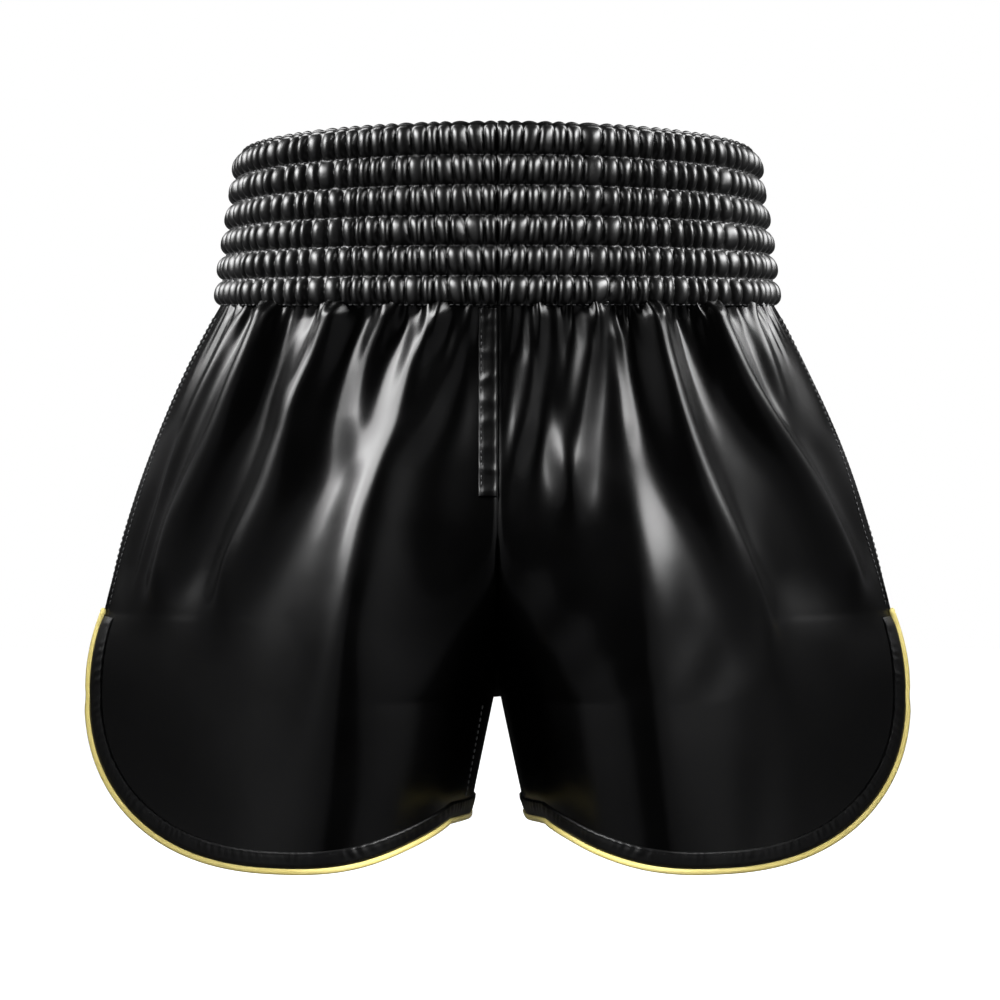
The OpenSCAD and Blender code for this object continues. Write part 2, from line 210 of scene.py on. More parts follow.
def back_folds(seed):
    rng = np.random.default_rng(seed)
    found = []
    for k, x0 in enumerate((14, 33, 55, 80, 106, 126)):
        x0 = x0 + rng.uniform(-4, 4)
        long = (150, 226, 168, 248, 186, 232)[k] + rng.uniform(-12, 12)
        steps = np.linspace(0, 1, 6)
        lean = 0.18 + 0.42 * x0 / 126 + rng.uniform(-0.06, 0.06)
        line = [(x0 + lean * (long - 89) * t * (0.8 + 0.2 * t), 89 + (long - 89) * t) for t in steps]
        narrow = 6 + rng.uniform(0, 2)
        wide = 10 + 0.06 * (long - 89) + rng.uniform(0, 3)
        found.append((line, narrow, wide, 3.6 + 0.026 * (long - 89)))
    return found


def fold_height(X, drop, S, folds, gather_seed):
    """Height of the cloth over its plain shape, in mm. X and S are each column's distance from the middle,
    straight across and along the cloth."""
    D = np.zeros_like(S)
    rows = drop[:, 0] if drop.ndim == 2 else drop
    for line, w0, w1, high in folds:
        line = np.array(line, float)
        start, end = line[0, 1], line[-1, 1]
        xc = np.interp(rows, line[:, 1], line[:, 0])
        slope = (line[-1, 0] - line[-2, 0]) / (line[-1, 1] - line[-2, 1])
        xc = np.where(rows > end, line[-1, 0] + slope * (rows - end), xc)
        xc = np.minimum(xc, X[:, -1] - 13)
        xc = np.convolve(np.pad(xc, 14, "edge"), np.ones(29) / 29, "valid")
        sc = np.array([np.interp(x, X[i], S[i]) for i, x in enumerate(xc)])[:, None]
        t = np.clip((rows - start) / (end - start), 0, 1.4)[:, None]
        w = mix(w0, w1 * 1.12, np.minimum(t, 1) ** 0.85)
        fade = smooth((rows - start + 8) / 14)[:, None] * (1 - smooth((t - 0.75) / 0.5))
        d = S - sc
        valleys = 0.3 * np.exp(-(((np.abs(d) - 1.9 * w) / (1.2 * w)) ** 2))
        D += high * fade * (np.exp(-((d / w) ** 2)) - valleys)
    # gathers where the cloth leaves the waistband, finer near it
    low = np.maximum(rows - BAND_DROP, 0)[:, None]
    share = S / S[:, -1:]
    top = share * S[0, -1]
    wander = 1.6 * noise(top, 0 * top, gather_seed, 30, 60)
    fine = np.cos(2 * math.pi * (top + wander) / 7.0)
    coarse = np.cos(2 * math.pi * (top + 2.2 * wander) / 15.5 + 1.3)
    pick = 0.62 + 0.38 * noise(top, low, gather_seed + 1, 26, 90)
    D += 1.5 * fine * np.exp(-low / 9.0) * pick
    D += 0.8 * coarse * np.exp(-low / 20.0) * smooth(low / 7) * pick
    D += 0.5 * noise(top, low, gather_seed + 2, 70, 260) * smooth(low / 40)
    return D


# ------------------------------------------------------------------ mesh helpers
def new_object(name, verts, faces, material, uv=None, shade=True):
    mesh = bpy.data.meshes.new(name)
    points = [tuple(v) for v in (np.asarray(verts) * MM)]
    mesh.from_pydata(points, [], [tuple(int(i) for i in f) for f in faces])
    mesh.validate()
    if uv is not None:
        layer = mesh.uv_layers.new(name="cloth")
        index = np.zeros(len(mesh.loops), np.int32)
        mesh.loops.foreach_get("vertex_index", index)
        layer.data.foreach_set("uv", (np.asarray(uv, float)[index] * MM).astype(np.float32).ravel())
    mesh.polygons.foreach_set("use_smooth", [shade] * len(mesh.polygons))
    mesh.update()
    obj = bpy.data.objects.new(name, mesh)
    bpy.context.collection.objects.link(obj)
    obj.data.materials.append(material)
    return obj


def grid_normals(P, wrap=False):
    if wrap:
        a = np.roll(P, -1, 1) - np.roll(P, 1, 1)
    else:
        a = np.gradient(P, axis=1)
    b = np.gradient(P, axis=0)
    return unit(np.cross(a, b))


def shell(name, P, N, thick, material, S=None, Z=None, wrap=False, lower=None):
    """A closed thin solid from a grid of outer points and their outward normals."""
    rows, cols = P.shape[:2]
    inner = P - N * thick if lower is None else lower
    verts = np.concatenate([P.reshape(-1, 3), inner.reshape(-1, 3)])
    count = rows * cols
    idx = np.arange(count).reshape(rows, cols)
    nxt = np.roll(idx, -1, 1) if wrap else idx[:, 1:]
    cur = idx if wrap else idx[:, :-1]
    a, b, c, d = cur[:-1], nxt[:-1], nxt[1:], cur[1:]
    quads = np.stack([a, b, c, d], -1).reshape(-1, 4)
    r, q = rows // 2, cols // 2
    turn = np.cross(P[r, q + 1] - P[r, q], P[r + 1, q] - P[r, q]) @ N[r, q]
    under = quads[:, ::-1] + count
    faces = [quads, under]
    top, bottom = (cur[0], nxt[0]), (cur[-1], nxt[-1])
    faces.append(np.stack([top[0], top[0] + count, top[1] + count, top[1]], -1))
    faces.append(np.stack([bottom[0], bottom[1], bottom[1] + count, bottom[0] + count], -1))
    if not wrap:
        first, last = idx[:, 0], idx[:, -1]
        faces.append(np.stack([first[:-1], first[1:], first[1:] + count, first[:-1] + count], -1))
        faces.append(np.stack([last[:-1], last[:-1] + count, last[1:] + count, last[1:]], -1))
    faces = np.concatenate(faces)
    if turn < 0:
        faces = faces[:, ::-1]
    uv = None
    if S is not None:
        flat = np.stack([S.reshape(-1), Z.reshape(-1)], -1)
        uv = np.concatenate([flat, flat])
    return new_object(name, verts, faces, material, uv)


def tube(name, path, normals, radius, material, sides=12, squash=1.0):
    """A round cord with rounded ends; squash flattens it along the normals."""
    path = np.asarray(path, float)
    d = unit(np.gradient(path, axis=0))
    n = unit(normals - np.sum(normals * d, -1, keepdims=True) * d)
    b = np.cross(d, n)
    ang = np.linspace(0, 2 * math.pi, sides, endpoint=False)
    up = np.cos(ang)[None, :, None] * n[:, None] * squash
    rings = path[:, None] + radius * (up + np.sin(ang)[None, :, None] * b[:, None])
    length = np.concatenate([[0], np.cumsum(np.linalg.norm(np.diff(path, axis=0), axis=1))])
    caps = []
    for end, sign in ((0, -1), (len(path) - 1, 1)):
        for forward, shrink in ((0.45, 0.85), (0.8, 0.45)):
            tip = path[end] + sign * d[end] * radius * forward
            caps.append(tip + (rings[end] - path[end]) * shrink)
    rings = np.concatenate([[caps[1], caps[0]], rings, [caps[2], caps[3]]])
    length = np.concatenate([[length[0]] * 2, length, [length[-1]] * 2])
    k = len(rings)
    verts = rings.reshape(-1, 3)
    idx = np.arange(k * sides).reshape(k, sides)
    nx = np.roll(idx, -1, 1)
    quads = np.stack([idx[:-1], idx[1:], nx[1:], nx[:-1]], -1).reshape(-1, 4)
    faces = [tuple(q) for q in quads] + [tuple(idx[0]), tuple(idx[-1][::-1])]
    uv = np.stack([np.repeat(length, sides), np.tile(ang * radius, k)], -1)
    return new_object(name, verts, faces, material, uv)


def stitches(name, runs, material, length=2.5, gap=1.1, radius=0.24, lift=0.16):
    """Threads laid along each run of (points, normals)."""
    verts, faces = [], []
    ring = np.linspace(0, 2 * math.pi, 6, endpoint=False)
    for path, normals in runs:
        path, normals = np.asarray(path, float), np.asarray(normals, float)
        s = np.concatenate([[0], np.cumsum(np.linalg.norm(np.diff(path, axis=0), axis=1))])
        pitch = length + gap
        for start in np.arange(0.4, s[-1] - length, pitch):
            at = start + length * np.array([0.0, 0.12, 0.5, 0.88, 1.0])
            c = np.stack([np.interp(at, s, path[:, i]) for i in range(3)], -1)
            n = unit(np.stack([np.interp(at, s, normals[:, i]) for i in range(3)], -1))
            d = unit(np.gradient(c, axis=0))
            b = unit(np.cross(d, n))
            size = radius * np.array([0.35, 0.85, 1.0, 0.85, 0.35])
            up = lift * np.array([-1.6, 0.2, 1.0, 0.2, -1.6])
            base = len(verts)
            for j in range(5):
                o = c[j] + n[j] * up[j]
                for a in ring:
                    verts.append(o + size[j] * (math.cos(a) * n[j] + math.sin(a) * b[j]))
            for j in range(4):
                for a in range(6):
                    a2 = (a + 1) % 6
                    near, far = base + j * 6, base + (j + 1) * 6
                    faces.append((near + a, far + a, far + a2, near + a2))
            faces.append(tuple(base + a for a in range(6)))
            faces.append(tuple(base + 24 + a for a in reversed(range(6))))
    return new_object(name, np.array(verts), faces, material)


# ------------------------------------------------------------------ materials
def material(name):
    m = bpy.data.materials.new(name)
    m.use_nodes = True
    return m, m.node_tree, m.node_tree.nodes["Principled BSDF"]


def satin(name, dark, light, rough, weave=0.06, specular=0.5, sheen=0.0, variation=0.35):
    """Satin: fine floats across the cloth, slight unevenness of colour and gloss."""
    m, tree, bsdf = material(name)
    links, nodes = tree.links, tree.nodes
    uv = nodes.new("ShaderNodeUVMap")
    uv.uv_map = "cloth"
    stretch = nodes.new("ShaderNodeMapping")
    stretch.inputs["Scale"].default_value = (9000, 1400, 1)
    links.new(uv.outputs["UV"], stretch.inputs["Vector"])
    floats = nodes.new("ShaderNodeTexNoise")
    floats.inputs["Scale"].default_value = 1.0
    floats.inputs["Detail"].default_value = 2
    links.new(stretch.outputs["Vector"], floats.inputs["Vector"])
    twill = nodes.new("ShaderNodeTexWave")
    twill.wave_type = "BANDS"
    twill.bands_direction = "DIAGONAL"
    twill.inputs["Scale"].default_value = 620
    twill.inputs["Distortion"].default_value = 1.2
    twill.inputs["Detail"].default_value = 1
    links.new(uv.outputs["UV"], twill.inputs["Vector"])
    add = nodes.new("ShaderNodeMath")
    add.operation = "ADD"
    links.new(floats.outputs["Fac"], add.inputs[0])
    links.new(twill.outputs["Fac"], add.inputs[1])
    bump = nodes.new("ShaderNodeBump")
    bump.inputs["Strength"].default_value = weave
    bump.inputs["Distance"].default_value = 0.00012
    links.new(add.outputs[0], bump.inputs["Height"])
    links.new(bump.outputs["Normal"], bsdf.inputs["Normal"])
    coord = nodes.new("ShaderNodeTexCoord")
    cloud = nodes.new("ShaderNodeTexNoise")
    cloud.inputs["Scale"].default_value = 34
    cloud.inputs["Detail"].default_value = 4
    links.new(coord.outputs["Object"], cloud.inputs["Vector"])
    ramp = nodes.new("ShaderNodeValToRGB")
    ramp.color_ramp.elements[0].position = 0.3
    ramp.color_ramp.elements[0].color = (*dark, 1)
    ramp.color_ramp.elements[1].position = 0.75
    ramp.color_ramp.elements[1].color = (*light, 1)
    links.new(cloud.outputs["Fac"], ramp.inputs["Fac"])
    links.new(ramp.outputs["Color"], bsdf.inputs["Base Color"])
    spread = nodes.new("ShaderNodeMapRange")
    spread.inputs["From Min"].default_value = 0.25
    spread.inputs["From Max"].default_value = 0.75
    spread.inputs["To Min"].default_value = rough * (1 - variation * 0.25)
    spread.inputs["To Max"].default_value = rough * (1 + variation * 0.25)
    links.new(cloud.outputs["Fac"], spread.inputs["Value"])
    links.new(spread.outputs["Result"], bsdf.inputs["Roughness"])
    bsdf.inputs["Specular IOR Level"].default_value = specular
    bsdf.inputs["Sheen Weight"].default_value = sheen
    bsdf.inputs["Sheen Roughness"].default_value = 0.4
    return m


def woven(name, colour, rib, rough):
    """Ribbed tape or twisted thread: ribs along the piece's length."""
    m, tree, bsdf = material(name)
    links, nodes = tree.links, tree.nodes
    coord = nodes.new("ShaderNodeTexCoord")
    wave = nodes.new("ShaderNodeTexWave")
    wave.wave_type = "BANDS"
    wave.bands_direction = "DIAGONAL"
    wave.inputs["Scale"].default_value = rib
    wave.inputs["Distortion"].default_value = 0.8
    links.new(coord.outputs["Object"], wave.inputs["Vector"])
    bump = nodes.new("ShaderNodeBump")
    bump.inputs["Strength"].default_value = 0.3
    bump.inputs["Distance"].default_value = 0.0002
    links.new(wave.outputs["Fac"], bump.inputs["Height"])
    links.new(bump.outputs["Normal"], bsdf.inputs["Normal"])
    ramp = nodes.new("ShaderNodeValToRGB")
    ramp.color_ramp.elements[0].color = (*[c * 0.8 for c in colour], 1)
    ramp.color_ramp.elements[1].color = (*colour, 1)
    links.new(wave.outputs["Fac"], ramp.inputs["Fac"])
    links.new(ramp.outputs["Color"], bsdf.inputs["Base Color"])
    bsdf.inputs["Roughness"].default_value = rough
    return m


BODY = satin("body_satin_cloth", (0.0002, 0.0002, 0.00022), (0.0005, 0.0005, 0.00055), 0.25)
GATHER = satin(
    "waistband_satin_cloth", (0.0003, 0.0003, 0.00032), (0.0008, 0.0008, 0.00085), 0.33, specular=0.9
)
LINING = satin("lining_satin_cloth", (0.003, 0.003, 0.0032), (0.006, 0.006, 0.0064), 0.45)
FACING = satin("facing_satin_cloth", (0.0003, 0.0003, 0.00032), (0.0008, 0.0008, 0.00085), 0.33)
EDGE = satin("edge_band_cloth", (0.0008, 0.0008, 0.0009), (0.002, 0.002, 0.0022), 0.4, weave=0.1)
GUSSET = satin("gusset_satin_cloth", (0.0003, 0.0003, 0.00032), (0.0008, 0.0008, 0.00085), 0.4)
YELLOW = satin("yellow_piping_cloth", (0.86, 0.71, 0.22), (0.93, 0.79, 0.3), 0.45, weave=0.25, sheen=0.1)
ELASTIC = woven("elastic_tape", (0.03, 0.03, 0.03), 300, 0.8)
# the thread is a dark grey, lighter than black thread: partly its own colour, partly a painted highlight
# standing in for the glints along the stitching
THREAD = woven("black_thread_twist", (0.06, 0.06, 0.062), 900, 0.4)

# ------------------------------------------------------------------ panels
# grid of one panel, across and down
COLS, LINES = 200, 220
HINGES = {j["name"]: j for j in frame["record"]["behaviour"]["joints"]}


def length_across(points):
    """Length along each row of a grid, seen from above."""
    step = np.linalg.norm(np.diff(points[:, :, :2], axis=1), axis=2)
    return np.concatenate([np.zeros((len(points), 1)), np.cumsum(step, axis=1)], 1)


class Panel:
    """One of the four panels: its displaced outer surface as a grid, and points on it by part and drop."""

    def __init__(self, sx, sy, folds, seed):
        self.sx, self.sy = sx, sy
        self.where = ("front_" if sy < 0 else "back_") + ("left" if sx < 0 else "right")
        self.flap = self.where + "_flap"
        t = np.linspace(0, 1, COLS)
        p = (1 - np.cos(math.pi * t)) / 2
        p = 0.75 * p + 0.25 * t
        self.p = p
        low = hem_at(p)
        v = np.linspace(0, 1, LINES) ** 1.08
        self.top = BAND_DROP - 2.5
        drop = self.top + (low[None, :] - self.top) * v[:, None]
        P = np.broadcast_to(p[None, :], drop.shape)
        base = cloth_point(P, drop, sx, sy)
        N = grid_normals(base)
        if np.sum(N[:, COLS // 2] * np.array([0, sy, 0])) < 0:
            N = -N
        S = length_across(base)
        self.v, self.drop, self.S = v, drop, S
        # the folds are worked out on level lines, then read off at each point
        level = np.linspace(self.top, HEM + 1, 320)
        lp = np.broadcast_to(p[None, :], (len(level), COLS))
        ld = np.broadcast_to(level[:, None], lp.shape)
        lb = cloth_point(lp, ld, sx, sy)
        ls = length_across(lb)
        D = fold_height(np.abs(lb[:, :, 0]), ld, ls, folds, seed)
        calm = smooth(ls / 9) * smooth((ls[:, -1:] - ls) / 9)
        near_slit = 1 - smooth((ld - SLIT + 26) / 40) * smooth((lp - 0.55) / 0.3)
        D = D * calm * near_slit
        # the cloth turns in at the middle seam and at the side seam
        D -= 0.85 * np.exp(-((ls / 1.5) ** 2))
        D -= 0.75 * np.exp(-(((ls[:, -1:] - ls) / 1.5) ** 2)) * smooth((SLIT - ld) / 20)
        i = np.clip((drop - level[0]) / (level[1] - level[0]), 0, len(level) - 1.001)
        i0 = i.astype(int)
        f = i - i0
        cols = np.broadcast_to(np.arange(COLS)[None, :], drop.shape)
        H = D[i0, cols] * (1 - f) + D[i0 + 1, cols] * f
        straight = N.copy()
        straight[:, :, 0] *= smooth(S / 6)
        self.P = base + unit(straight) * H[:, :, None]
        N2 = grid_normals(self.P)
        if np.sum(N2[:, COLS // 2] * np.array([0, sy, 0])) < 0:
            N2 = -N2
        self.N = N2

    def at(self, p, drop):
        """Points and normals on the displaced surface."""
        p = np.clip(np.asarray(p, float), 0, 1)
        j = np.clip(np.interp(p, self.p, np.arange(COLS)), 0, COLS - 1.001)
        low = hem_at(p)
        vv = np.clip((drop - self.top) / (low - self.top), 0, 1)
        i = np.clip(np.interp(vv, self.v, np.arange(LINES)), 0, LINES - 1.001)
        i0, j0 = i.astype(int), j.astype(int)
        fi, fj = (i - i0)[..., None], (j - j0)[..., None]
        out = []
        for g in (self.P, self.N):
            left = g[i0, j0] * (1 - fi) + g[i0 + 1, j0] * fi
            right = g[i0, j0 + 1] * (1 - fi) + g[i0 + 1, j0 + 1] * fi
            out.append(left * (1 - fj) + right * fj)
        return out[0], unit(out[1])

    def bend(self, obj):
        """Look up the fold line between the shorts and this panel's corner; obj is only baked in place,
        not bent.
        """
        hinge = HINGES[self.where + "_corner_fold"]
        pos, axis = Vector(hinge["pos_m"]), Vector(hinge["axis"]).normalized()
        out = Vector((self.sx * 0.7, self.sy * 0.7, 0.19))
        across = axis.cross(out - axis * out.dot(axis)).normalized()
        if across.x * self.sx < 0:
            across = -across
        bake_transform(obj)


def spread_u(u):
    """Part across the panel; even steps of u crowd towards the inner leg."""
    return 1 - np.cos(math.pi / 2 * np.clip(u, 0, 1))


def part_u(p):
    """The u that gives this part across the panel."""
    return np.arccos(1 - np.clip(p, 0, 1)) * 2 / math.pi


class Edge:
    """The free edge of a panel, from the slit top round the corner to the inner leg."""

    def __init__(self, panel):
        self.panel = panel
        slit = [(1.0, d) for d in np.linspace(SLIT + 0.2, CORNER_START, 12)[:-1]]
        ang = np.linspace(0, math.pi / 2, 60)
        k = np.maximum(np.cos(ang), 0) ** (2 / 2.3)
        cp = (HEM_HALF - CORNER_REACH + CORNER_REACH * k) / HEM_HALF
        corner = [(float(q), float(hem_at(np.array(q)))) for q in cp]
        u = part_u(1 - CORNER_REACH / HEM_HALF) * (1 - np.linspace(0, 1, 90)[1:])
        hem = [(float(q), float(hem_at(np.maximum(q, LEG_GAP / HEM_HALF)))) for q in spread_u(u)]
        turns = np.array(slit + corner + hem)
        pts = cloth_point(turns[:, 0], turns[:, 1], 1, panel.sy)
        d = np.concatenate([[0], np.cumsum(np.linalg.norm(np.diff(pts, axis=0), axis=1))])
        self.total = d[-1]
        self.d, self.u, self.drop = d, part_u(turns[:, 0]), turns[:, 1]

    def uv(self, d):
        return np.interp(d, self.d, self.u), np.interp(d, self.d, self.drop)

    def inside(self, d, w):
        """Part and drop at distance w inside the edge at length d along it."""
        sy = self.panel.sy
        u, drop = self.uv(d)
        u1, d1 = self.uv(np.minimum(d + 3, self.total))
        u0, d0 = self.uv(np.maximum(d - 3, 0))
        point = lambda a, b: cloth_point(spread_u(a), b, 1, sy)
        T = unit(point(u1, d1) - point(u0, d0))
        ua = np.maximum(u, 0.02)
        su = (point(ua, drop) - point(ua - 0.02, drop)) / 0.02
        sv = (point(u, drop + 1) - point(u, drop - 1)) / 2
        N = unit(np.cross(su, sv))
        A = w[..., None] * unit(np.cross(N, T))
        guu, guv, gvv = np.sum(su * su, -1), np.sum(su * sv, -1), np.sum(sv * sv, -1)
        bu, bv = np.sum(A * su, -1), np.sum(A * sv, -1)
        det = guu * gvv - guv * guv
        nu = u + (bu * gvv - bv * guv) / det
        nd = drop + (bv * guu - bu * guv) / det
        return spread_u(nu), nd

    def path(self, d, w=0.0, lift=0.0):
        p, drop = self.inside(d, np.full_like(d, max(w, 0.01)))
        P, N = self.panel.at(p, drop)
        return P + N * lift, N


def edge_band(pan):
    """Black band along the edge, slightly puckered by its stitching."""
    total = pan.edge.total
    d = np.linspace(0.4, total - 1.2, int(total / 0.9))
    outer_rim = [0.25, 0.5, 0.9]
    inner_rim = [EDGE_BAND - 0.8, EDGE_BAND - 0.35, EDGE_BAND - 0.05]
    ws = np.concatenate([outer_rim, np.linspace(1.6, EDGE_BAND - 1.4, 8), inner_rim])
    dd, ww = np.meshgrid(d, ws, indexing="ij")
    p, drop = pan.edge.inside(dd, ww)
    P, N = pan.at(p, drop)
    round_in = smooth((ww - 0.2) / 1.2) * smooth((EDGE_BAND - ww) / 1.0)
    wander = 1.3 * noise(dd, 0 * dd, 71 + pan.sx, 22, 50) + 0.22 * ww
    pucker = 0.5 + 0.5 * np.sin(2 * math.pi * (dd + wander) / 5.2)
    uneven = 0.6 + 0.4 * noise(dd, ww, 72, 30, 40)
    swell = 0.28 + 0.62 * round_in + 0.55 * pucker * smooth((ww - 2.0) / 4) * uneven * round_in
    swell = swell * (0.3 + 0.7 * smooth((total - dd) / 10) * smooth((dd + 1) / 7))
    crease = 0.38 * np.exp(-(((ww - (EDGE_BAND - STITCH_INSET)) / 0.45) ** 2))
    crease = crease + 0.3 * np.exp(-(((ww - 1.1) / 0.4) ** 2))
    top = P + N * (swell - crease * 0.7 + 0.1)[..., None]
    band = shell(pan.where + "_edge_band", top, N, 0.5, EDGE, dd, ww, lower=P + N * 0.04)
    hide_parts(pan.where + "_hem_band", pan.where + "_corner_band")
    return band


def piping(pan):
    """Yellow cord just outside the edge."""
    d = np.linspace(0.3, pan.edge.total - 0.6, int(pan.edge.total / 1.1))
    E, N = pan.edge.path(d, 0.0)
    I, _ = pan.edge.path(d, 1.5)
    outward = unit(E - I)
    path = E + outward * (PIPING * 0.95) - N * 0.05
    cord = tube(pan.where + "_piping", path, N, PIPING, YELLOW, sides=14, squash=0.92)
    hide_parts(pan.where + "_hem_piping", pan.where + "_corner_piping")
    return cord


def topstitching(pan):
    """Thread on the edge band."""
    d = np.linspace(1.0, pan.edge.total - 2.0, int(pan.edge.total / 2))
    run = pan.edge.path(d, EDGE_BAND - STITCH_INSET, 0.55)
    thread = stitches(pan.where + "_topstitching", [run], THREAD)
    return thread


def side_seam_stitching(pan):
    """Two rows of thread beside the side seam."""
    runs = []
    for w in (1.8, 4.6):
        pts, nn = [], []
        for drop in np.linspace(BAND_DROP + 6, SLIT - 4, 90):
            q = 1 - (w / 26.0) ** 1.35 / 9.0
            a, n = pan.at(np.array(q), np.array(drop))
            pts.append(a + n * 0.1)
            nn.append(n)
        runs.append((np.array(pts), np.array(nn)))
    thread = stitches(pan.where + "_side_seam_stitching", runs, THREAD, length=2.2, gap=0.9)
    return thread


panels = {}
for sx in (-1, 1):
    panels["front", sx] = Panel(sx, -1, FRONT_FOLDS[sx], 11 + sx)
    panels["back", sx] = Panel(sx, 1, back_folds(40 + sx), 31 + sx)
for pan in panels.values():
    pan.obj = shell(pan.where + "_cloth", pan.P, pan.N, CLOTH, BODY, pan.S, -pan.drop)
    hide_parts(pan.where + "_panel", pan.where + "_corner")
    pan.edge = Edge(pan)
    pan.band = edge_band(pan)
    pan.pip = piping(pan)
    pan.thread = topstitching(pan)
    pan.side_thread = side_seam_stitching(pan)
    for piece in (pan.obj, pan.band, pan.pip, pan.thread):
        pan.bend(piece)
    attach(pan.side_thread, "shorts")

# ------------------------------------------------------------------ waistband
# from one gather to the next, and how far the rim dips at the sides
PITCH = 7.4
SIDE_DIP = 14.0
# how far the casing lies outside the plain oval, and the radius of its roll over the rim
CASING_OFF = 0.7
ROLL = 1.35
# grid steps in one row
R_STEPS = 16


def rim_dip(c):
    """How far the rim hangs below its front middle; c is 1 there, 0 at the sides, -1 at the back."""
    return np.where(c > 0, SIDE_DIP * (1 - c), SIDE_DIP * (1 - np.clip(-c, 0, 1) ** 1.2))


def around(count, a0, a1):
    """Angles at equal steps of length round the waistband oval, 0 at the front middle."""
    fine = np.linspace(0, 2 * math.pi, 4001)
    x, y = MID_BAND_HALF * np.sin(fine), -MID_BAND_HALF * FLAT * np.cos(fine)
    s = np.concatenate([[0], np.cumsum(np.hypot(np.diff(x), np.diff(y)))])
    lo, hi = np.interp([a0, a1], fine, s)
    want = np.linspace(lo, hi, count)
    return np.interp(want, s, fine), want, s[-1]


def band_point(ang, tau, off):
    """tau is 0 at the rim and 1 at the lower edge; off is the distance outside the plain oval, in mm."""
    c = np.cos(ang)
    half = mix(RIM_HALF, BAND_HALF, tau)
    a, b = half, half * FLAT
    x, y = a * np.sin(ang), -b * np.cos(ang)
    nx, ny = np.sin(ang) / a, -np.cos(ang) / b
    ln = np.hypot(nx, ny)
    z = (1.6 - rim_dip(c)) * (1 - tau) - BAND_DROP * tau
    return np.stack([x + off * nx / ln, y + off * ny / ln, z], -1)


def gather_phase(s, total, seed, row):
    """Where each gather lies along one row; whole numbers are the grooves."""
    common = 0.2 * noise(s, 0 * s, seed, 62, 1, 9)
    own = 0.11 * noise(s, 0 * s, seed + 5 + row, 30, 1, 9)
    return s / total * round(total / PITCH) + common + own


def pucker_height(s, tau, total, seed, deep=1.0):
    """Gathers between the rows of stitching: rounded pillows with sharp grooves between them."""
    rows = np.clip(np.floor(tau * ROWS), 0, ROWS - 1)
    v = tau * ROWS - rows
    bulge = np.maximum(0, 1 - np.abs(2 * v - 1) ** 2.4) ** 0.72
    height = np.zeros_like(s + tau)
    lean = np.where(np.sin(s / total * 2 * math.pi) > 0, 1, -1)
    for r in range(ROWS):
        bend = 0.2 * lean + 0.1 * noise(s, 0 * s, seed + 40 + r, 16, 1, 9)
        phase = gather_phase(s, total, seed, r) + bend * (v - 0.5)
        size = 0.86 + 0.1 * noise(s, 0 * s, seed + 20 + r, 18, 1, 9)
        place = np.abs(2 * (phase % 1) - 1)
        wide = 0.5 + 0.5 * bulge
        pillow = np.maximum(0, 1 - (place / wide) ** 2.0) ** 0.62
        h = bulge * 4.3 * pillow * size - 0.5 * (1 - bulge)
        height = np.where(rows == r, h, height)
    return height * deep


def casing(side):
    a0, a1 = (0.0, math.pi) if side > 0 else (math.pi, 2 * math.pi)
    ang, s, total = around(700, a0, a1)
    seam = np.minimum(s - s[0], s[-1] - s)
    taus = np.linspace(1.0, 0.0, ROWS * R_STEPS + 1)
    A, T = np.meshgrid(ang, taus)
    Sg = np.broadcast_to(s[None, :], A.shape)
    H = pucker_height(Sg, T, total, 5)
    H = H * smooth((seam[None, :] + 1.2) / 3.5)
    rows = [band_point(A, T, CASING_OFF + H)]
    # the cloth rolls over the rim and goes down inside
    roll = np.linspace(0, math.pi, 9)[1:]
    wave = 1 - np.abs(2 * (gather_phase(s, total, 5, 0) % 1) - 1) ** 2
    for r in roll:
        off = CASING_OFF - ROLL + ROLL * math.cos(r) + 0 * s
        p = band_point(ang, np.zeros_like(ang), off)
        p[:, 2] += (0.8 + 1.1 * wave) * math.sin(r)
        rows.append(p[None])
    for k in range(1, 6):
        p = band_point(ang, np.full_like(ang, 0.012 * k), -2.0 + 0.15 * wave)
        rows.append(p[None])
    P = np.concatenate(rows)
    N = grid_normals(P)
    centre = P[ROWS * R_STEPS // 2, 350] * np.array([1, 1, 0])
    if N[ROWS * R_STEPS // 2, 350] @ centre < 0:
        N = -N
    # the two halves overlap by a hair at the middle seams
    P[:, :, 0] -= 0.05 * side
    Z = np.concatenate([[0], np.cumsum(np.linalg.norm(np.diff(P[:, 350], axis=0), axis=1))])
    Zg = np.broadcast_to(Z[:, None], P.shape[:2])
    Sg = np.broadcast_to(s[None, :], P.shape[:2])
    name = "waistband_casing_" + ("right" if side > 0 else "left")
    obj = shell(name + "_cloth", P, N, 0.45, GATHER, Sg, Zg)
    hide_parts(name)
    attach(obj, "shorts")
    return obj


def lining(side):
    a0, a1 = (0.0, math.pi) if side > 0 else (math.pi, 2 * math.pi)
    ang, s, total = around(420, a0, a1)
    seam = np.minimum(s - s[0], s[-1] - s)
    taus = np.linspace(0.995, 0.075, ROWS * 11)
    A, T = np.meshgrid(ang, taus)
    Sg = np.broadcast_to(s[None, :], A.shape)
    H = pucker_height(Sg, T, total, 905, 0.62) * smooth((seam[None, :] + 1.2) / 3.5)
    P = band_point(A, T, -1.0 - H)
    N = grid_normals(P)
    if N[30, 210] @ (P[30, 210] * np.array([1, 1, 0])) > 0:
        N = -N
    P[:, :, 0] -= 0.05 * side
    name = "waistband_lining_" + ("right" if side > 0 else "left")
    obj = shell(name + "_cloth", P, N, 0.35, LINING, Sg, BAND_DROP * T)
    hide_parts(name)
    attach(obj, "shorts")
    return obj


casings = [casing(-1), casing(1)]
linings = [lining(-1), lining(1)]

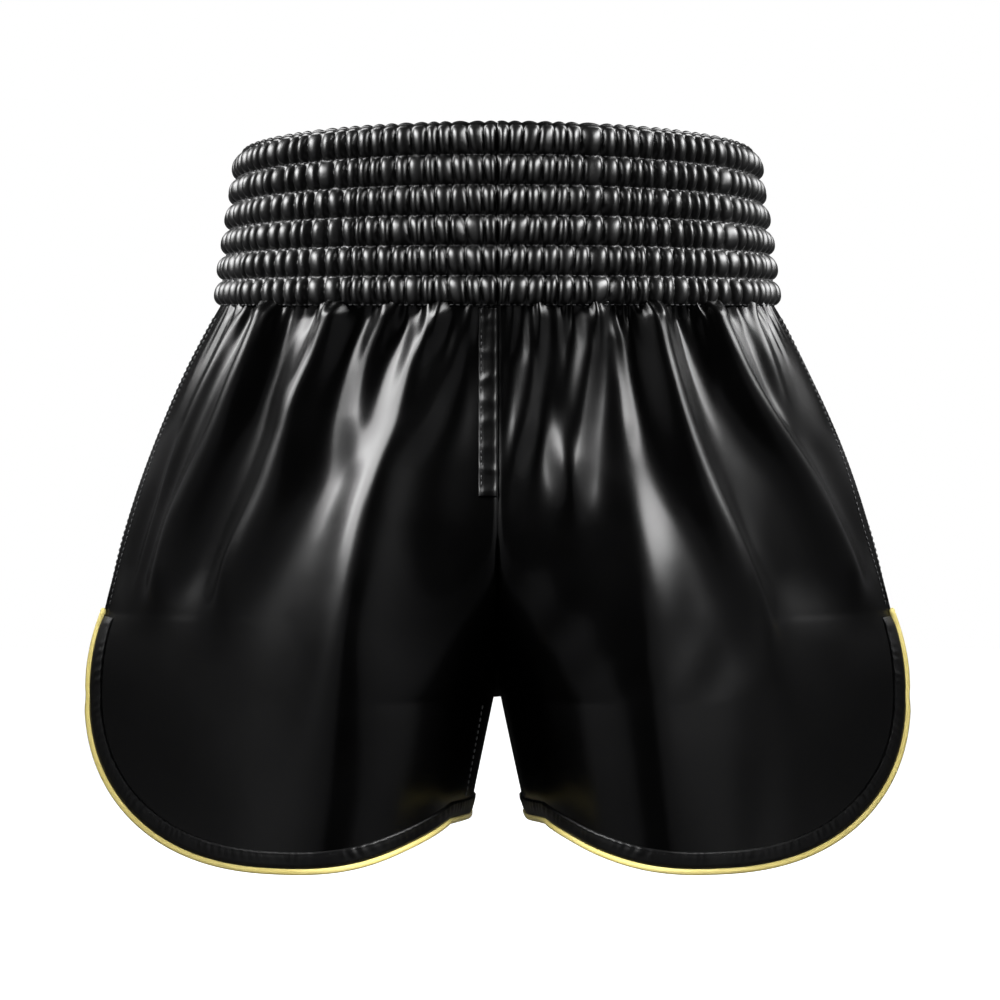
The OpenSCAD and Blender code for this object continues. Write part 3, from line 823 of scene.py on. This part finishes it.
# elastic tapes inside the channels
TAPE = 0.75
for row in range(ROWS):
    ang, s, total = around(500, 0, 2 * math.pi)
    ang, s = ang[:-1], s[:-1]
    vs = np.linspace(0.16, 0.84, 7)
    A, V = np.meshgrid(ang, vs)
    bow = 0.12 * np.cos((V - 0.5) * math.pi)
    P = band_point(A, (row + V) / ROWS, bow)
    L = band_point(A, (row + V) / ROWS, bow - TAPE)
    N = grid_normals(P, wrap=True)
    if N[3, 10] @ (P[3, 10] * np.array([1, 1, 0])) < 0:
        N = -N
    Sg = np.broadcast_to(s[None, :], A.shape)
    tape = shell(f"elastic_tape_{row + 1}", P, N, TAPE, ELASTIC, Sg, V * ROW, wrap=True, lower=L)
    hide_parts(f"elastic_band_{row + 1}")
    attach(tape, "shorts")

# the rows of stitching between the channels
runs = []
for row in range(1, ROWS + 1):
    ang, s, total = around(900, 0.004, 2 * math.pi - 0.004)
    tau = np.full_like(ang, row / ROWS - (0.006 if row == ROWS else 0))
    P = band_point(ang, tau, 0.95)
    N = band_point(ang, tau, 1.95) - P
    runs.append((P, N))
rows_obj = stitches("waistband_row_stitching", runs, THREAD, length=2.1, gap=1.2, radius=0.2, lift=0.12)
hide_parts("waistband_stitching")
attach(rows_obj, "shorts")

# ------------------------------------------------------------------ strip beside the centre front seam
front = panels["front", -1]
STRIP = 9.2
# heights below the rim where the strip puckers
PUCKERS = [96, 101, 112, 125, 136, 146, 159, 170, 181]
drops = np.linspace(BAND_DROP + 1.2, BAND_DROP + 94.5, 240)
near_rim = [0.0, 0.25, 0.6]
far_rim = [STRIP - 0.6, STRIP - 0.25, STRIP]
across = np.concatenate([near_rim, np.linspace(1.1, STRIP - 1.2, 12), far_rim])
DD, AA = np.meshgrid(drops, across, indexing="ij")
half = side_half(DD)
P, N = front.at((0.35 + AA) / half, DD)
edge_round = smooth(AA / 0.9) * smooth((STRIP - AA) / 0.9)
lift = 0.35 + 0.55 * edge_round
rng = np.random.default_rng(5)
for k in PUCKERS:
    skew = rng.uniform(-0.35, 0.35)
    size = rng.uniform(0.5, 0.9)
    along = (DD - k - skew * (AA - STRIP / 2)) / rng.uniform(2.2, 3.2)
    lift += size * np.exp(-(along**2)) * np.sin(math.pi * np.clip(AA / STRIP, 0, 1)) ** 0.8
lift -= 0.3 * np.exp(-(((AA - (STRIP - 1.5)) / 0.4) ** 2))
top = P + N * lift[..., None]
strip = shell("centre_front_facing_cloth", top, N, 0.5, FACING, AA, DD, lower=P + N * 0.03)
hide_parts("centre_front_facing")
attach(strip, "shorts")
sp, sn = front.at((0.35 + STRIP - 1.5 + 0 * drops) / side_half(drops), drops)
seam_runs = [(sp + sn * 0.75, sn)]
# inner leg seams, stitched a little inside the edge, front and back
for pan in panels.values():
    dr = np.linspace(CROTCH + 4, INNER_HEM - 7, 60)
    if pan.where == "front_right":
        continue
    a, n = pan.at(0 * dr + 5.2 / HEM_HALF, dr)
    seam_runs.append((a + n * 0.12, n))
seams = stitches("centre_and_inner_leg_stitching", seam_runs, THREAD, length=2.2, gap=1.0)
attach(seams, "shorts")

# ------------------------------------------------------------------ crotch gusset
# half length of the gusset from front to back
GH = 46.0
y = np.linspace(-GH, GH, 70)
k = np.linspace(-1, 1, 25)
Y, K = np.meshgrid(y, k, indexing="ij")
halfw = 0.9 + 8 * np.cos(math.pi / 2 * Y / GH) ** 2
Z = -CROTCH - 1.2 + 26 * (np.abs(Y) / GH) ** 2.4 + 0.25 * noise(Y, K * 9, 9, 18, 12)
P = np.stack([K * halfw, Y, Z], -1)
N = grid_normals(P)
if N[35, 12, 2] < 0:
    N = -N
gusset = shell("crotch_gusset_cloth", P, N, 0.8, GUSSET, K * halfw, Y)
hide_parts("crotch_gusset")
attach(gusset, "shorts")

# ------------------------------------------------------------------ stage, light and camera
PALE, _, pale = material("pale_studio")
pale.inputs["Base Color"].default_value = (0.9, 0.9, 0.9, 1)
pale.inputs["Roughness"].default_value = 0.9
pale.inputs["Emission Color"].default_value = (1, 1, 1, 1)
pale.inputs["Emission Strength"].default_value = 1.0
ring = np.linspace(0, 2 * math.pi, 96, endpoint=False)
disc = np.stack([9000 * np.cos(ring), 9000 * np.sin(ring), 0 * ring - 640], -1)
floor = new_object("studio_floor", disc, [tuple(range(96))], PALE)
floor.visible_glossy = False
floor.visible_diffuse = False

# the camera sees a pale room; the cloth sees it nearly dark
world = bpy.data.worlds.new("studio")
bpy.context.scene.world = world
world.use_nodes = True
room = world.node_tree.nodes["Background"]
room.inputs["Color"].default_value = (1, 1, 1, 1)
seen = world.node_tree.nodes.new("ShaderNodeLightPath")
level = world.node_tree.nodes.new("ShaderNodeMapRange")
level.inputs["To Min"].default_value = 0.008
level.inputs["To Max"].default_value = 1.0
world.node_tree.links.new(seen.outputs["Is Camera Ray"], level.inputs["Value"])
world.node_tree.links.new(level.outputs["Result"], room.inputs["Strength"])


def softbox(name, loc, target, size, power):
    data = bpy.data.lights.new(name, "AREA")
    data.shape = "RECTANGLE"
    data.size, data.size_y = size
    data.energy = power
    data.spread = math.pi
    obj = bpy.data.objects.new(name, data)
    bpy.context.collection.objects.link(obj)
    obj.location = loc
    obj.rotation_euler = (Vector(target) - Vector(loc)).to_track_quat("-Z", "Y").to_euler()
    obj.visible_camera = False
    return obj


# how far the key lights stand to the side, to the front or back, and up, in m
KEY = (2.44, 0.66, 1.5)
for side, name in ((-1, "left"), (1, "right")):
    for k, (size, power) in enumerate((((2.1, 1.4), 85), ((1.4, 0.9), 110))):
        softbox(f"{name}_key_{k}", (side * KEY[0], -KEY[1], KEY[2]), (0, 0, -0.15), size, power)
        softbox(f"{name}_back_key_{k}", (side * KEY[0], KEY[1], KEY[2]), (0, 0, -0.15), size, power * 0.5)
    # a dark card beside the shorts keeps the key light off their lower half
    card = [(side * 360, yy, zz) for yy, zz in ((-900, -1200), (-900, -100), (900, -100), (900, -1200))]
    flag = new_object(f"{name}_flag", np.array(card, float), [(0, 1, 2, 3)], THREAD)
    flag.visible_camera = False
fills = (
    ("front_fill", (0, -2.6, -0.9), (2.2, 1.0), 104),
    ("back_fill", (0, 2.6, -0.9), (2.2, 1.0), 90),
    ("front_top_fill", (0, -2.4, 1.2), (2.2, 0.8), 40),
)
for name, loc, size, power in fills:
    fill = softbox(name, loc, (0, 0, -0.2), size, power)
    fill.visible_glossy = False

cam_data = bpy.data.cameras.new("camera")
cam = bpy.data.objects.new("camera", cam_data)
bpy.context.collection.objects.link(cam)
cam.location = (0.0012, -4.224, -0.087)
look = Vector((0.0012, -0.1, -0.1855))
cam.rotation_euler = (look - cam.location).to_track_quat("-Z", "Y").to_euler()
# a long lens: the picture is 0.495 m wide at 4.1 m
cam_data.sensor_width = 36
cam_data.lens = 36 * 4.10 / 0.495
cam_data.clip_end = 50
bpy.context.scene.camera = cam
bpy.context.scene.view_settings.view_transform = "Standard"
